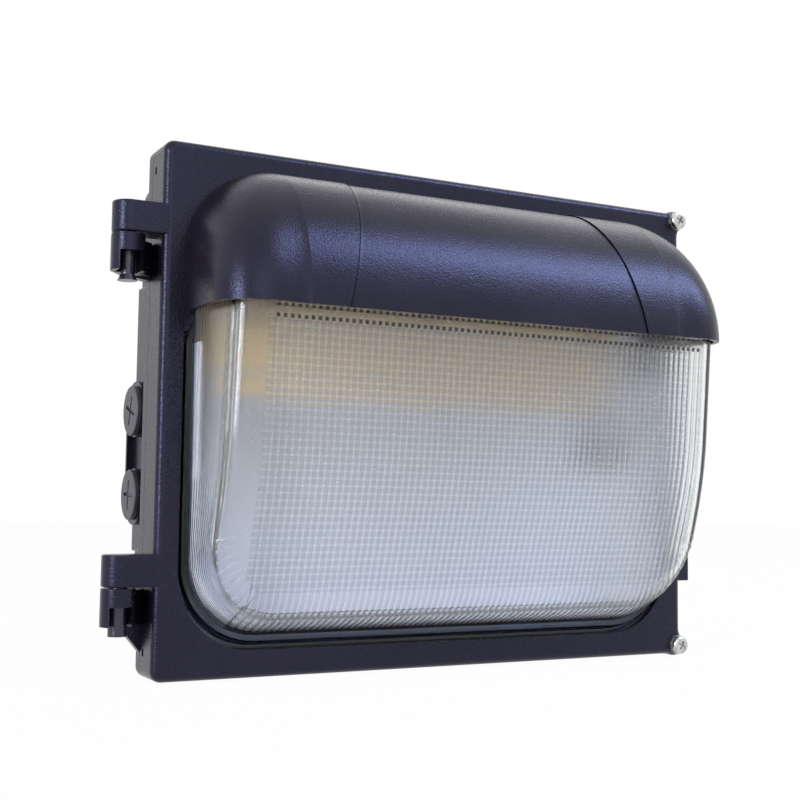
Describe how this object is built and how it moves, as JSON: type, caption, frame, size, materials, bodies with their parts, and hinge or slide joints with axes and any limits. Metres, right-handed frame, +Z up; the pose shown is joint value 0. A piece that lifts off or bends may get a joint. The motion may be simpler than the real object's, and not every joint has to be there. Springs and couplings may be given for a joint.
{
  "type": "wall pack light",
  "caption": "Outdoor wall light with a cast back housing, a hinged door with a rounded hood, a deep prismatic glass bowl and captive door screws.",
  "frame": {"origin": "centre of the housing's back face, on the wall plane", "axes": "+X to the right seen from the front, +Y into the wall, +Z up; the light faces -Y"},
  "size_m": [0.3212, 0.1287, 0.2424],
  "materials": {
    "bronze_coat": "die casting with a dark bronze fine-texture powder coat",
    "pressed_glass": "clear pressed glass with prisms",
    "black_rubber": "moulded rubber",
    "grey_rubber": "silicone sheet",
    "zinc_steel": "zinc plated",
    "pin_metal": "dull plated",
    "white_enamel": "gloss white enamel",
    "white_board": "white solder mask",
    "phosphor": "silicone over phosphor",
    "driver_case": "moulded case",
    "terminal_plastic": "moulded",
    "green_screw": "green painted",
    "black_lead": "insulation",
    "white_lead": "insulation",
    "red_lead": "insulation"
  },
  "bodies": {
    "housing": {"back_housing": "bronze_coat", "tray_posts": "zinc_steel", "door_seal": "black_rubber", "conduit_plug_upper": "bronze_coat", "conduit_plug_lower": "bronze_coat", "plug_seals": "black_rubber", "gear_tray": "white_enamel", "tray_screws": "zinc_steel", "thermal_pad": "grey_rubber", "led_board": "white_board", "led_strips": "phosphor", "board_screws": "zinc_steel", "led_driver": "driver_case", "driver_screws": "zinc_steel", "terminal_block": "terminal_plastic", "ground_screw": "green_screw", "lead_grommet": "black_rubber", "lead_negative": "black_lead", "lead_positive": "red_lead", "lead_line": "black_lead", "lead_neutral": "white_lead"},
    "door": {"door_frame": "bronze_coat", "hinge_pin_upper": "pin_metal", "hinge_pin_lower": "pin_metal", "glass_refractor": "pressed_glass", "glass_gasket": "grey_rubber", "glass_clips": "zinc_steel", "clip_screws": "zinc_steel"},
    "screw_upper": {"door_screw_upper": "zinc_steel", "flat_washer_upper": "zinc_steel", "spring_washer_upper": "zinc_steel", "retaining_ring_upper": "zinc_steel"},
    "screw_lower": {"door_screw_lower": "zinc_steel", "flat_washer_lower": "zinc_steel", "spring_washer_lower": "zinc_steel", "retaining_ring_lower": "zinc_steel"}
  },
  "joints": [
    {"name": "door_hinge", "type": "hinge", "parent": "housing", "child": "door", "pos_m": [-0.1598, -0.0659, 0], "axis": [0, 0, -1], "range_deg": [0, 170]},
    {"name": "screw_upper_slide", "type": "slide", "parent": "door", "child": "screw_upper", "axis": [0, -1, 0], "range_m": [0, 0.008]},
    {"name": "screw_lower_slide", "type": "slide", "parent": "door", "child": "screw_lower", "axis": [0, -1, 0], "range_m": [0, 0.008]}
  ]
}
